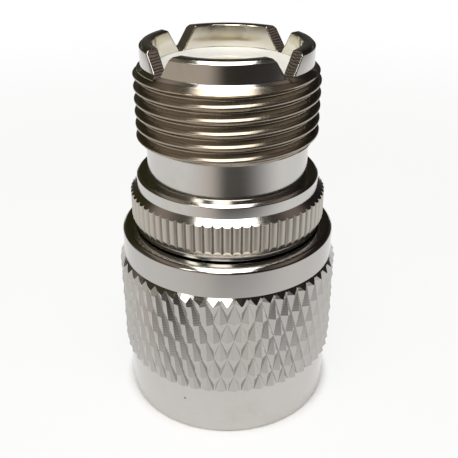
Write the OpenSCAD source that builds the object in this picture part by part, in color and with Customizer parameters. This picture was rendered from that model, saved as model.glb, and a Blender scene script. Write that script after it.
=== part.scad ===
// Coaxial adapter: an N-series plug with a turning coupling nut at one end
// and a UHF-series jack with a castellated mouth at the other.
// The origin is the centre of the nut's open rim and +Z runs along the axis to the jack.

/* [Coupling nut] */
// Diameter of the plain bands above and below the knurl
nut_od = 19.16; // [18.6:0.02:19.4]
// Length of the nut from its open rim to its rear face
nut_len = 17.25; // [16.4:0.05:18.5]
// Height of the plain band below the knurl
nut_band_h = 4.75; // [4:0.05:5.2]
// Height of the plain collar above the knurl, with its rounded rear edge
nut_collar_h = 2.65; // [2:0.05:3]
// Radius of the rounded edge at the rear face
nut_rear_round = 0.32; // [0.2:0.02:0.5]
// Radius of the rounded edge at the open rim
nut_rim_round = 0.2; // [0.1:0.02:0.4]
// Minor diameter of the 5/8-24 inside thread
nut_thread_bore_d = 14.8; // [14.7:0.02:15]
// Length of the inside thread
nut_thread_len = 6; // [4:0.1:6.6]
// Diameter of the plain lead-in at the mouth of the inside thread
lead_in_d = 16.2; // [16:0.05:16.6]
// Depth of the lead-in, from the rim to the start of the thread
lead_in_depth = 1.35; // [1:0.05:1.6]
// Diameter of the relief behind the inside thread
relief_d = 16.1; // [16:0.05:16.4]

/* [Diamond knurl] */
// Diameter over the points of the diamonds
knurl_od = 20.06; // [19.9:0.02:20.4]
// Depth of the grooves at their crossings
knurl_depth = 0.36; // [0.24:0.01:0.48]
// Number of diamonds around the nut
knurl_count = 52; // [40:1:64]
// Height of one diamond, from point to point along the axis
diamond_h = 3.73; // [3:0.01:4.5]
// Distance from the knurl's upper end down to the first row of points
diamond_start = 0.56; // [0.2:0.01:1.4]
// Axial length of the bevel at the knurl's upper end
knurl_bevel_upper = 0.66; // [0.4:0.02:0.9]
// Axial length of the bevel at the knurl's lower end
knurl_bevel_lower = 0.3; // [0.2:0.02:0.6]

/* [Grip ring and flange] */
// Clear height between the nut's rear face and the grip ring
rear_gap = 0.15; // [0.1:0.05:0.6]
// Diameter over the teeth of the straight knurl
grip_od = 17.28; // [17.2:0.02:17.6]
// Diameter of the smooth foot below the teeth
grip_foot_d = 16.72; // [16.4:0.02:16.76]
// Depth of the straight knurl's grooves
grip_depth = 0.17; // [0.1:0.01:0.2]
// Number of teeth around the grip ring
grip_teeth = 68; // [48:1:80]
// Share of a tooth's pitch that its flat crest takes
grip_crest = 0.4; // [0.3:0.02:0.6]
// Height of the smooth foot below the teeth, with their taper
grip_foot_h = 0.97; // [0.94:0.01:1.2]
// Height of the taper at the lower end of the teeth
grip_taper_h = 0.59; // [0.3:0.01:0.62]
// Height of the teeth up to the upper bevel
grip_teeth_h = 2.2; // [1.6:0.05:2.8]
// Height of the bevel above the teeth
grip_bevel_h = 0.5; // [0.35:0.05:0.7]
// Diameter of the flange collar above the grip ring
flange_od = 16.04; // [16.02:0.02:16.5]
// Height of the flange collar
flange_h = 1.18; // [0.8:0.02:1.6]
// Bevel on the upper edge of the flange collar
flange_bevel = 0.2; // [0.1:0.02:0.3]

/* [Jack barrel] */
// Diameter of the plain neck between flange and thread
neck_d = 14.06; // [13.7:0.02:14.3]
// Height of the plain neck
neck_h = 2.9; // [2:0.05:4]
// Major diameter of the 5/8-24 outside thread
thread_od = 15.7; // [15.6:0.02:15.7]
// Pitch of the thread, 24 to the inch
thread_pitch = 1.0583; // [1.05:0.0001:1.07]
// Depth of the thread
thread_depth = 0.62; // [0.5:0.01:0.65]
// Width of the flat on each thread crest
thread_crest_w = 0.13; // [0.1:0.01:0.2]
// Number of thread crests
thread_crests = 6; // [5:1:8]
// Outside diameter of the castellated mouth
mouth_od = 14.4; // [14.1:0.02:14.6]
// Inside diameter of the castellated mouth
mouth_bore_d = 12.2; // [11.9:0.02:12.4]
// Height of the mouth above the thread
mouth_h = 1.7; // [1.2:0.05:2.2]
// Number of notches in the mouth
notch_count = 4; // [2:1:6]
// Width of a notch at its top
notch_top_w = 3; // [1.6:0.1:3.2]
// Width of a notch at its foot
notch_foot_w = 0.4; // [0.2:0.05:0.8]
// Turn of the first notch from the +X axis, in degrees
notch_turn = 41.8; // [0:0.2:89]
// Depth of a notch below the foot of the mouth
notch_drop = 0.3; // [0:0.05:0.4]
// Bevel on the outer edge of the mouth
mouth_bevel = 0.24; // [0.1:0.02:0.3]
// Bevel on the inner edge of the mouth
mouth_inner_bevel = 0.12; // [0.05:0.01:0.2]

/* [Plug shell] */
// Outside diameter of the contact sleeve
sleeve_od = 8; // [7.9:0.02:8.1]
// Inside diameter of the contact sleeve
sleeve_bore_d = 7; // [6.9:0.02:7.1]
// Distance from the nut's rim to the end of the sleeve
sleeve_recess = 1.8; // [1.7:0.05:2.4]
// Distance from the end of the sleeve to the face that the gasket lies on
seat_depth = 9; // [8.6:0.1:9.4]
// Diameter of the shank that the nut turns on
shank_d = 14.2; // [14:0.02:14.3]
// Radial clearance between the shank and the nut
running_gap = 0.08; // [0.03:0.01:0.1]
// Diameter of the spigot pressed into the jack shell
spigot_d = 11; // [10.6:0.1:11.2]
// Length of the spigot
spigot_len = 4.6; // [3.8:0.05:5]
// Diameter of the rear bore that holds the insulators
rear_bore_d = 8.4; // [8.2:0.1:8.8]
// Distance from the gasket's seat to the step where the rear bore starts
bore_step_at = 1.2; // [0.8:0.1:2]

/* [Retaining ring and gasket] */
// Axial thickness of the retaining ring
ring_t = 0.8; // [0.6:0.05:1]
// Radial width of the retaining ring
ring_w = 1.1; // [0.9:0.05:1.2]
// Depth of the ring's groove in the shank
ring_groove_depth = 0.62; // [0.5:0.02:0.7]
// Distance from the gasket's seat to the ring's groove in the shank
ring_groove_at = 2.3; // [1.8:0.1:3]
// Gap in the ring where it springs open
ring_split = 3; // [2:0.1:5]
// Clearance around the ring in its grooves
ring_gap = 0.06; // [0.03:0.01:0.1]
// Outside diameter of the gasket
gasket_od = 13.6; // [13:0.1:13.9]
// Thickness of the gasket
gasket_t = 1.4; // [1:0.05:1.6]
// Diameter of the collar that centres the gasket
gasket_collar_d = 8.8; // [8.6:0.1:9]

/* [Contacts and insulators] */
// Diameter of the plug's centre pin
pin_d = 1.6; // [1.58:0.01:1.7]
// Diameter of the pin's body behind the shoulder
pin_body_d = 3.04; // [2.9:0.02:3.2]
// Distance from the end of the sleeve to the pin's shoulder
pin_shoulder_depth = 5.26; // [5.1:0.02:5.5]
// Distance that the pin's tip stands back from the end of the sleeve
pin_tip_recess = 0.1; // [0:0.05:0.4]
// Length of the taper at the pin's tip
pin_taper = 0.9; // [0.6:0.05:1.2]
// Diameter of the stud that joins the two contacts
stud_d = 2.2; // [1.8:0.1:2.4]
// Length of the stud
stud_len = 2; // [1.4:0.1:2.4]
// Bore of the jack's socket contact
socket_bore_d = 4; // [3.9:0.02:4.1]
// Outside diameter of the socket contact
socket_od = 5.5; // [5.2:0.05:5.8]
// Depth of the socket's bore
socket_depth = 9.5; // [8.6:0.1:9.8]
// Thickness of the solid rear end of the socket contact
socket_root = 2.7; // [2.5:0.1:3]
// Distance that the socket stands back from the insulator's face
socket_recess = 0.2; // [0:0.05:0.5]
// Width of the slots in the socket
socket_slot_w = 0.5; // [0.3:0.05:0.7]
// Length of the slots in the socket
socket_slot_len = 6; // [4:0.1:7]
// Distance from the foot of the mouth down to the jack insulator's face
insulator_recess = 0.27; // [0:0.01:0.6]
// Thickness of the web between the socket contact and the plug insulator
web_t = 0.8; // [0.6:0.05:1.2]

/* [Hidden] */
$fn = 96;

nickel = [0.74, 0.72, 0.69];
silver_plate = [0.82, 0.81, 0.78];
ptfe = [0.93, 0.93, 0.91];
silicone = [0.62, 0.24, 0.18];

// Extra length of a cutting tool past the face that it cuts
over = 1;
// Clearance between pieces that are pressed together
press_gap = 0.02;
// Points along a quarter round
round_steps = 5;
// Small bevel on edges that only need breaking
edge_bevel = 0.15;

// Levels along the axis
grip_z = nut_len + rear_gap;
teeth_z = grip_z + grip_foot_h;
teeth_top_z = teeth_z + grip_teeth_h;
flange_z = teeth_top_z + grip_bevel_h;
neck_z = flange_z + flange_h;
thread_z = neck_z + neck_h;
thread_runout = (thread_od - neck_d) / 2 * tan(30);
thread_lead = (thread_od - mouth_od) / 2;
mouth_z = thread_z + thread_runout + (thread_crests - 1) * thread_pitch + thread_crest_w + thread_lead;
top_z = mouth_z + mouth_h;
shoulder_z = grip_z + spigot_len;
insulator_top_z = mouth_z - insulator_recess;
socket_top_z = insulator_top_z - socket_recess;
socket_floor_z = socket_top_z - socket_depth;
socket_z = socket_floor_z - socket_root;
web_z = socket_z - web_t;
seat_z = sleeve_recess + seat_depth;
bore_step_z = seat_z + bore_step_at;
pin_shoulder_z = sleeve_recess + pin_shoulder_depth;
pin_tip_z = sleeve_recess + pin_tip_recess;
ring_groove_z = seat_z + ring_groove_at;
ring_z = ring_groove_z + 2 * ring_gap;
knurl_z = nut_band_h;
knurl_top_z = nut_len - nut_collar_h;

// Radii that more than one piece follows
nut_bore_r = shank_d / 2 + running_gap;
ring_ri = shank_d / 2 - ring_groove_depth + ring_gap;
ring_ro = ring_ri + ring_w;
gasket_z = seat_z - gasket_t;

// A point at radius r and angle a around the axis, at height z
function around(r, a, z) = [r * cos(a), r * sin(a), z];

// Points of an arc about centre c from angle a0 to a1
function arc(c, r, a0, a1) = [
    for (i = [0:round_steps])
        let (a = a0 + (a1 - a0) * i / round_steps)
            c + r * [cos(a), sin(a)]
];

// Outline of the ring-shaped thread crests, from the neck up to the mouth
function thread_points() = let (
    crest_r = thread_od / 2,
    root_r = crest_r - thread_depth,
    flank = thread_depth * tan(30),
    first = thread_z + thread_runout
) [
    for (k = [0:thread_crests - 1])
        let (z = first + k * thread_pitch)
            for (p = [
                if (k > 0) [root_r, z - flank],
                [crest_r, z],
                [crest_r, z + thread_crest_w],
                if (k < thread_crests - 1) [root_r, z + thread_crest_w + flank]
            ]) p
];

// Outline of the straight knurl: each tooth has a flat crest between two sloping sides
function grip_points() = [
    for (i = [0:grip_teeth - 1])
        for (p = [[-grip_crest / 2, 0], [grip_crest / 2, 0], [1 / 2, grip_depth]])
            (grip_od / 2 - p[1]) * [cos((i + p[0]) * 360 / grip_teeth), sin((i + p[0]) * 360 / grip_teeth)]
];

// Solid of the turned jack shell, without the teeth of its grip ring
module jack_blank() {
    foot_r = grip_foot_d / 2;
    rotate_extrude() polygon(concat(
        [
            [0, grip_z],
            [foot_r - edge_bevel, grip_z],
            [foot_r, grip_z + edge_bevel],
            [foot_r, teeth_top_z],
            [flange_od / 2, flange_z],
            [flange_od / 2, neck_z - flange_bevel],
            [flange_od / 2 - flange_bevel, neck_z],
            [neck_d / 2, neck_z],
            [neck_d / 2, thread_z]
        ],
        thread_points(),
        [
            [mouth_od / 2, mouth_z],
            [mouth_od / 2, top_z - mouth_bevel],
            [mouth_od / 2 - mouth_bevel, top_z],
            [0, top_z]
        ]
    ));
}

// Teeth of the straight knurl, bevelled towards the flange and tapered to the smooth foot
module grip_ring() {
    // The taper starts inside the shell, just under the face of its foot
    run = (grip_od - grip_foot_d) / 2;
    inset = run + 2 * press_gap;
    start_r = grip_od / 2 - inset;
    start_z = teeth_z - grip_taper_h * inset / run;
    intersection() {
        translate([0, 0, start_z]) linear_extrude(flange_z - start_z) polygon(grip_points());
        rotate_extrude() polygon([
            [0, start_z],
            [start_r, start_z],
            [grip_od / 2, teeth_z],
            [grip_od / 2, teeth_top_z],
            [flange_od / 2, flange_z],
            [0, flange_z]
        ]);
    }
}

// One V-shaped notch through the mouth, pointing along +X
module notch() {
    foot_z = mouth_z - notch_drop;
    flare = (notch_top_w - notch_foot_w) / (top_z - foot_z);
    top_w = notch_top_w + flare * over;
    translate([mouth_bore_d / 2 - over, 0, 0]) rotate([90, 0, 90])
        linear_extrude((mouth_od - mouth_bore_d) / 2 + 2 * over) polygon([
            [-notch_foot_w / 2, foot_z],
            [notch_foot_w / 2, foot_z],
            [top_w / 2, top_z + over],
            [-top_w / 2, top_z + over]
        ]);
}

// Turned shell of the jack: mouth, threaded barrel, neck, flange and grip ring
module jack_shell() {
    color(nickel) difference() {
        union() {
            jack_blank();
            grip_ring();
        }
        rotate_extrude() polygon([
            [0, grip_z - over],
            [spigot_d / 2, grip_z - over],
            [spigot_d / 2, shoulder_z],
            [mouth_bore_d / 2, shoulder_z],
            [mouth_bore_d / 2, top_z - mouth_inner_bevel],
            [mouth_bore_d / 2 + mouth_inner_bevel + over, top_z + over],
            [0, top_z + over]
        ]);
        for (i = [0:notch_count - 1])
            rotate([0, 0, notch_turn + i * 360 / notch_count]) notch();
    }
}

// Insulator of the jack, with a stem that reaches down into the plug shell
module jack_insulator() {
    color(ptfe) rotate_extrude() polygon([
        [pin_body_d / 2 + press_gap, web_z],
        [rear_bore_d / 2 - press_gap, web_z],
        [rear_bore_d / 2 - press_gap, shoulder_z],
        [mouth_bore_d / 2 - press_gap, shoulder_z],
        [mouth_bore_d / 2 - press_gap, insulator_top_z - edge_bevel],
        [mouth_bore_d / 2 - press_gap - edge_bevel, insulator_top_z],
        [socket_od / 2 + press_gap + edge_bevel, insulator_top_z],
        [socket_od / 2 + press_gap, insulator_top_z - edge_bevel],
        [socket_od / 2 + press_gap, socket_z],
        [pin_body_d / 2 + press_gap, socket_z]
    ]);
}

// Slotted socket that takes the centre pin of a UHF plug
module socket_contact() {
    color(silver_plate) difference() {
        rotate_extrude() polygon([
            [stud_d / 2 + press_gap, socket_z],
            [socket_od / 2 - edge_bevel, socket_z],
            [socket_od / 2, socket_z + edge_bevel],
            [socket_od / 2, socket_top_z - edge_bevel],
            [socket_od / 2 - edge_bevel, socket_top_z],
            [socket_bore_d / 2 + edge_bevel, socket_top_z],
            [socket_bore_d / 2, socket_top_z - edge_bevel],
            [socket_bore_d / 2, socket_floor_z],
            [0, socket_floor_z],
            [0, socket_z + stud_len],
            [stud_d / 2 + press_gap, socket_z + stud_len]
        ]);
        for (a = [45, 135])
            rotate([0, 0, a])
                translate([-socket_od, -socket_slot_w / 2, socket_top_z - socket_slot_len])
                    cube([2 * socket_od, socket_slot_w, socket_slot_len + over]);
    }
}

// Turned shell of the plug: contact sleeve, gasket seat, shank with the ring's groove, and spigot
module plug_shell() {
    groove_r = shank_d / 2 - ring_groove_depth;
    color(nickel) rotate_extrude() polygon([
        [sleeve_bore_d / 2 + edge_bevel, sleeve_recess],
        [sleeve_od / 2 - edge_bevel, sleeve_recess],
        [sleeve_od / 2, sleeve_recess + edge_bevel],
        [sleeve_od / 2, gasket_z],
        [gasket_collar_d / 2, gasket_z],
        [gasket_collar_d / 2, seat_z],
        [shank_d / 2 - edge_bevel, seat_z],
        [shank_d / 2, seat_z + edge_bevel],
        [shank_d / 2, ring_groove_z],
        [groove_r, ring_groove_z],
        [groove_r, ring_z + ring_t],
        [shank_d / 2, ring_z + ring_t],
        [shank_d / 2, grip_z],
        [spigot_d / 2 - press_gap, grip_z],
        [spigot_d / 2 - press_gap, shoulder_z],
        [rear_bore_d / 2, shoulder_z],
        [rear_bore_d / 2, bore_step_z],
        [sleeve_bore_d / 2, bore_step_z],
        [sleeve_bore_d / 2, sleeve_recess + edge_bevel]
    ]);
}

// Insulator bead of the plug, stepped so that it can't slide forward
module plug_insulator() {
    color(ptfe) rotate_extrude() polygon([
        [pin_body_d / 2 + press_gap, pin_shoulder_z],
        [sleeve_bore_d / 2 - press_gap, pin_shoulder_z],
        [sleeve_bore_d / 2 - press_gap, bore_step_z],
        [rear_bore_d / 2 - press_gap, bore_step_z],
        [rear_bore_d / 2 - press_gap, web_z],
        [pin_body_d / 2 + press_gap, web_z]
    ]);
}

// Centre pin of the plug, with a stud at its rear that screws into the socket contact
module pin_contact() {
    tip_r = pin_d / 4;
    color(silver_plate) rotate_extrude() polygon(concat(
        [[0, pin_tip_z]],
        arc([0, pin_tip_z + tip_r], tip_r, -75, -15),
        [
            [pin_d / 2, pin_tip_z + pin_taper],
            [pin_d / 2, pin_shoulder_z],
            [pin_body_d / 2, pin_shoulder_z],
            [pin_body_d / 2, socket_z],
            [stud_d / 2, socket_z],
            [stud_d / 2, socket_z + stud_len - edge_bevel],
            [stud_d / 2 - edge_bevel, socket_z + stud_len],
            [0, socket_z + stud_len]
        ]
    ));
}

// Barrel of the diamond knurl: points and groove crossings alternate around each level,
// each level is turned by half a diamond from the one below, and the first row of points
// under the upper bevel has one on the +X axis
module diamond_barrel() {
    steps = 2 * knurl_count;
    level_h = diamond_h / 2;
    last_z = knurl_top_z - diamond_start + level_h;
    levels = ceil((last_z - knurl_z) / level_h);
    first_z = last_z - levels * level_h;
    points = [
        for (k = [0:levels])
            for (i = [0:steps - 1])
                around(
                    knurl_od / 2 - ((i + k) % 2) * knurl_depth,
                    (i + levels + 1) * 360 / steps,
                    first_z + k * level_h
                )
    ];
    // Each square between two levels is split along the groove that crosses it
    sides = [
        for (k = [0:levels - 1])
            for (i = [0:steps - 1])
                let (
                    a = k * steps + i,
                    b = k * steps + (i + 1) % steps,
                    c = b + steps,
                    d = a + steps
                )
                    for (f = (i + k) % 2 == 0 ? [[a, d, b], [b, d, c]] : [[a, c, b], [a, d, c]]) f
    ];
    lower = [[for (i = [0:steps - 1]) i]];
    upper = [[for (i = [steps - 1:-1:0]) levels * steps + i]];
    polyhedron(points, concat(lower, sides, upper));
}

// Solid of the nut: knurled barrel between two plain bands
module nut_blank() {
    band_r = nut_od / 2;
    root_r = knurl_od / 2 - knurl_depth - edge_bevel;
    // The bevels run on past the points of the knurl
    bevel_over = knurl_od / 2 + edge_bevel - band_r;
    upper_slope = knurl_bevel_upper / (knurl_od / 2 - band_r);
    lower_slope = knurl_bevel_lower / (knurl_od / 2 - band_r);
    intersection() {
        diamond_barrel();
        rotate_extrude() polygon([
            [0, knurl_z],
            [band_r, knurl_z],
            [band_r + bevel_over, knurl_z + bevel_over * lower_slope],
            [band_r + bevel_over, knurl_top_z - bevel_over * upper_slope],
            [band_r, knurl_top_z],
            [0, knurl_top_z]
        ]);
    }
    rotate_extrude() polygon(concat(
        [[0, 0]],
        arc([band_r - nut_rim_round, nut_rim_round], nut_rim_round, -90, 0),
        [
            [band_r, knurl_z],
            [root_r, knurl_z + edge_bevel],
            [root_r, knurl_top_z - edge_bevel],
            [band_r, knurl_top_z]
        ],
        arc([band_r - nut_rear_round, nut_len - nut_rear_round], nut_rear_round, 0, 90),
        [[0, nut_len]]
    ));
}

// Coupling nut, which turns freely on the plug shell's shank
module coupling_nut() {
    thread_r = nut_thread_bore_d / 2;
    lead_r = lead_in_d / 2;
    relief_r = relief_d / 2;
    thread_end_z = lead_in_depth + nut_thread_len;
    lead_bevel = lead_r - thread_r;
    step_z = seat_z + edge_bevel + running_gap;
    // The groove's lower wall lies a running clearance under the retaining ring
    groove_r = ring_ro + ring_gap;
    groove_z = ring_z - ring_gap;
    groove_top_z = ring_z + ring_t + 4 * ring_gap;
    color(nickel) difference() {
        nut_blank();
        rotate_extrude() polygon([
            [0, -over],
            [lead_r + edge_bevel + over, -over],
            [lead_r, edge_bevel],
            [lead_r, lead_in_depth - lead_bevel / 2],
            [thread_r, lead_in_depth + lead_bevel / 2],
            [thread_r, thread_end_z],
            [relief_r, thread_end_z + (relief_r - thread_r) / 2],
            [relief_r, step_z],
            [nut_bore_r, step_z],
            [nut_bore_r, groove_z],
            [groove_r, groove_z],
            [groove_r, groove_top_z],
            [nut_bore_r, groove_top_z],
            [nut_bore_r, nut_len - edge_bevel],
            [nut_bore_r + edge_bevel + over, nut_len + over],
            [0, nut_len + over]
        ]);
    }
}

// Split spring ring that holds the nut on the shank
module retaining_ring() {
    color(silver_plate) difference() {
        rotate_extrude() polygon([
            [ring_ri, ring_z],
            [ring_ro, ring_z],
            [ring_ro, ring_z + ring_t],
            [ring_ri, ring_z + ring_t]
        ]);
        translate([0, -ring_split / 2, ring_z - over]) cube([shank_d, ring_split, ring_t + 2 * over]);
    }
}

// Flat gasket against the plug shell's seat
module gasket() {
    color(silicone) rotate_extrude() polygon([
        [gasket_collar_d / 2 + press_gap, gasket_z],
        [gasket_od / 2 - edge_bevel, gasket_z],
        [gasket_od / 2, gasket_z + edge_bevel],
        [gasket_od / 2, seat_z],
        [gasket_collar_d / 2 + press_gap, seat_z]
    ]);
}

jack_shell();
jack_insulator();
socket_contact();
plug_shell();
plug_insulator();
pin_contact();
coupling_nut();
retaining_ring();
gasket();
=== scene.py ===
"""Looks of a coax adapter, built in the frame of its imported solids.

Lengths are in millimetres in the classes and in metres in Blender. The axis of the adapter is Z, the
open rim of the coupling nut stands on the floor at level zero, and the camera looks along +Y.
"""
import logging
import math
from dataclasses import dataclass
from enum import Enum
from typing import Callable, Iterator, Optional, Sequence, Union

import bpy
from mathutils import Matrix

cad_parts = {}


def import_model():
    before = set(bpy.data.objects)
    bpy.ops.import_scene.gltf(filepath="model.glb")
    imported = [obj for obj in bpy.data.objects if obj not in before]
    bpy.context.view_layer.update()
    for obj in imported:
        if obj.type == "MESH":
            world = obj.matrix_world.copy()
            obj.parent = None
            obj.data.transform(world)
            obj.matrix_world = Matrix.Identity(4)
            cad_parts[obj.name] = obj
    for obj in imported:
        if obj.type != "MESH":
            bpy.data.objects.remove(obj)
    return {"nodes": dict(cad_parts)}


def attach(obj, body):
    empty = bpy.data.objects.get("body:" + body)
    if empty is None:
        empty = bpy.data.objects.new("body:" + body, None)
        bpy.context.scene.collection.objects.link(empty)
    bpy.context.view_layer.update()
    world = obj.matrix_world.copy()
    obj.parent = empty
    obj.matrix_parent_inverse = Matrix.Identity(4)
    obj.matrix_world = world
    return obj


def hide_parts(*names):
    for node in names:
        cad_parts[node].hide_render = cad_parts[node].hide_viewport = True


LOG = logging.getLogger("coax_adapter")
MM = 0.001
TAU = 2.0 * math.pi
TINY = 1e-6
MOST_EASE = 0.48
FLAT_WEIGHT = 60
FIT = 0.02
ZONE_SLOPE = 0.1
NICKEL = (0.56, 0.545, 0.52)
NICKEL_TARNISH = (0.46, 0.42, 0.35)
THREAD_SPAN = (25.2, 31.5)

Flat = tuple[float, float]
Point = tuple[float, float, float]
Colour = tuple[float, float, float]
Feed = Union["Sock", float, Sequence[float]]


class Body(Enum):
    """The two bodies that the pieces ride on."""

    ADAPTER = "adapter_body"
    NUT = "nut"


class Slot(Enum):
    """The record's material slots."""

    NICKEL = "nickel_plate"
    CONTACT = "contact_plate"
    BRONZE = "spring_bronze"
    PTFE = "ptfe"
    SILICONE = "silicone"


class Sock:
    """An output socket on which Python's operators add Math nodes."""

    def __init__(self, bench: "Bench", plug: bpy.types.NodeSocket) -> None:
        """Keeps the socket and the tree it belongs to."""
        self.bench = bench
        self.plug = plug

    def _math(self, operation: str, first: Feed, second: Feed) -> "Sock":
        """Adds one Math node with two inputs."""
        return self.bench.node("ShaderNodeMath", {"operation": operation}, {0: first, 1: second})

    def __add__(self, other: Feed) -> "Sock":
        """Adds."""
        return self._math("ADD", self, other)

    def __radd__(self, other: Feed) -> "Sock":
        """Adds, number first."""
        return self._math("ADD", other, self)

    def __sub__(self, other: Feed) -> "Sock":
        """Subtracts."""
        return self._math("SUBTRACT", self, other)

    def __rsub__(self, other: Feed) -> "Sock":
        """Subtracts from a number."""
        return self._math("SUBTRACT", other, self)

    def __mul__(self, other: Feed) -> "Sock":
        """Multiplies."""
        return self._math("MULTIPLY", self, other)

    def __rmul__(self, other: Feed) -> "Sock":
        """Multiplies, number first."""
        return self._math("MULTIPLY", other, self)

    def root(self) -> "Sock":
        """The square root."""
        return self.bench.node("ShaderNodeMath", {"operation": "SQRT"}, {0: self})

    def high(self, other: Feed) -> "Sock":
        """The larger of two values."""
        return self._math("MAXIMUM", self, other)


class Bench:
    """The node tree of a material or of the world."""

    def __init__(self, tree: bpy.types.NodeTree) -> None:
        """Takes a tree and empties it."""
        self.tree = tree
        tree.nodes.clear()

    def node(
        self,
        kind: str,
        settings: Optional[dict[str, object]] = None,
        inputs: Optional[dict[Union[int, str], Feed]] = None,
        out: Union[int, str] = 0,
    ) -> Sock:
        """Makes one node of any kind.

        Args:
            kind: the node's type name.
            settings: properties that are set before the sockets.
            inputs: values or links by socket name or number.
            out: name or number of the output to hand back.

        Returns:
            The chosen output.
        """
        made = self.tree.nodes.new(kind)
        for name, value in (settings or {}).items():
            setattr(made, name, value)
        for key, value in (inputs or {}).items():
            self.feed(made.inputs[key], value)
        return Sock(self, made.outputs[out])

    def feed(self, socket: bpy.types.NodeSocket, value: Feed) -> None:
        """Links a socket or sets its constant.

        Args:
            socket: the input to feed.
            value: a link, a number, or a colour or vector.
        """
        if isinstance(value, Sock):
            self.tree.links.new(value.plug, socket)
        elif isinstance(value, (int, float)):
            socket.default_value = value
        elif socket.type == "RGBA":
            socket.default_value = (*value, 1.0)
        else:
            socket.default_value = tuple(value)

    def mix(self, factor: Feed, first: Feed, second: Feed) -> Sock:
        """Mixes two colours."""
        settings = {"data_type": "RGBA", "clamp_factor": True}
        return self.node("ShaderNodeMix", settings, {0: factor, 6: first, 7: second}, 2)

    def rise(self, value: Feed, low: float, high: float) -> Sock:
        """A smooth step from 0 at low to 1 at high."""
        settings = {"interpolation_type": "SMOOTHSTEP", "clamp": True}
        return self.node("ShaderNodeMapRange", settings, {"Value": value, "From Min": low, "From Max": high})

    def zone(self, value: Feed, span: Flat) -> Sock:
        """1 within a span and 0 outside, with a short slope at its ends."""
        low, high = span
        return self.rise(value, low, low + ZONE_SLOPE) * (1.0 - self.rise(value, high - ZONE_SLOPE, high))

    def wave(self, length: Sock, pitch: float) -> Sock:
        """A sine along a length, with a pitch in millimetres."""
        return self.node("ShaderNodeMath", {"operation": "SINE"}, {0: length * (TAU / pitch)})

    def reach(self, x: Sock, y: Sock) -> Sock:
        """The distance from the axis."""
        return (x * x + y * y).root()

    def vector(self, x: Feed, y: Feed, z: Feed) -> Sock:
        """A vector from three values."""
        return self.node("ShaderNodeCombineXYZ", None, {0: x, 1: y, 2: z})

    def noise(self, at: Sock, scale: float, detail: float) -> Sock:
        """A noise value at a point."""
        return self.node("ShaderNodeTexNoise", None, {"Vector": at, "Scale": scale, "Detail": detail})

    def split(self, vector: Sock) -> tuple[Sock, Sock, Sock]:
        """The three parts of a vector."""
        parts = self.node("ShaderNodeSeparateXYZ", None, {0: vector}).plug.node.outputs
        return Sock(self, parts[0]), Sock(self, parts[1]), Sock(self, parts[2])

    def place(self) -> Sock:
        """The point on the surface in the piece's own frame, in millimetres."""
        at = self.node("ShaderNodeTexCoord", None, None, "Object")
        return self.node("ShaderNodeVectorMath", {"operation": "SCALE"}, {0: at, "Scale": 1.0 / MM})

    def bump(self, height: Feed, depth: float, strength: float) -> Sock:
        """A bump of a depth in millimetres."""
        inputs = {"Height": height, "Distance": depth * MM, "Strength": strength}
        return self.node("ShaderNodeBump", None, inputs)

    def surface(self, inputs: dict[Union[int, str], Feed]) -> None:
        """Ends the tree in a Principled shader."""
        shader = self.node("ShaderNodeBsdfPrincipled", None, inputs)
        self.node_out("ShaderNodeOutputMaterial", shader)

    def node_out(self, kind: str, shader: Sock) -> None:
        """Ends the tree in an output node."""
        end = self.tree.nodes.new(kind)
        self.tree.links.new(shader.plug, end.inputs["Surface"])


def fresh_bench(name: str) -> tuple[bpy.types.Material, Bench]:
    """Makes an empty node material.

    Args:
        name: the material's name.

    Returns:
        The material and the bench on its tree.
    """
    material = bpy.data.materials.new(name)
    material.use_nodes = True
    return material, Bench(material.node_tree)


@dataclass(frozen=True)
class Speck:
    """A dark speck in the plating: its middle and radius."""

    at: Point
    radius: float


@dataclass(frozen=True)
class ShadeTone:
    """A span of levels in which the plating is painted darker as painted shade, and takes extra roughness.
    """

    span: Flat
    colour: Colour
    rough: float = 0.0


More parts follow.
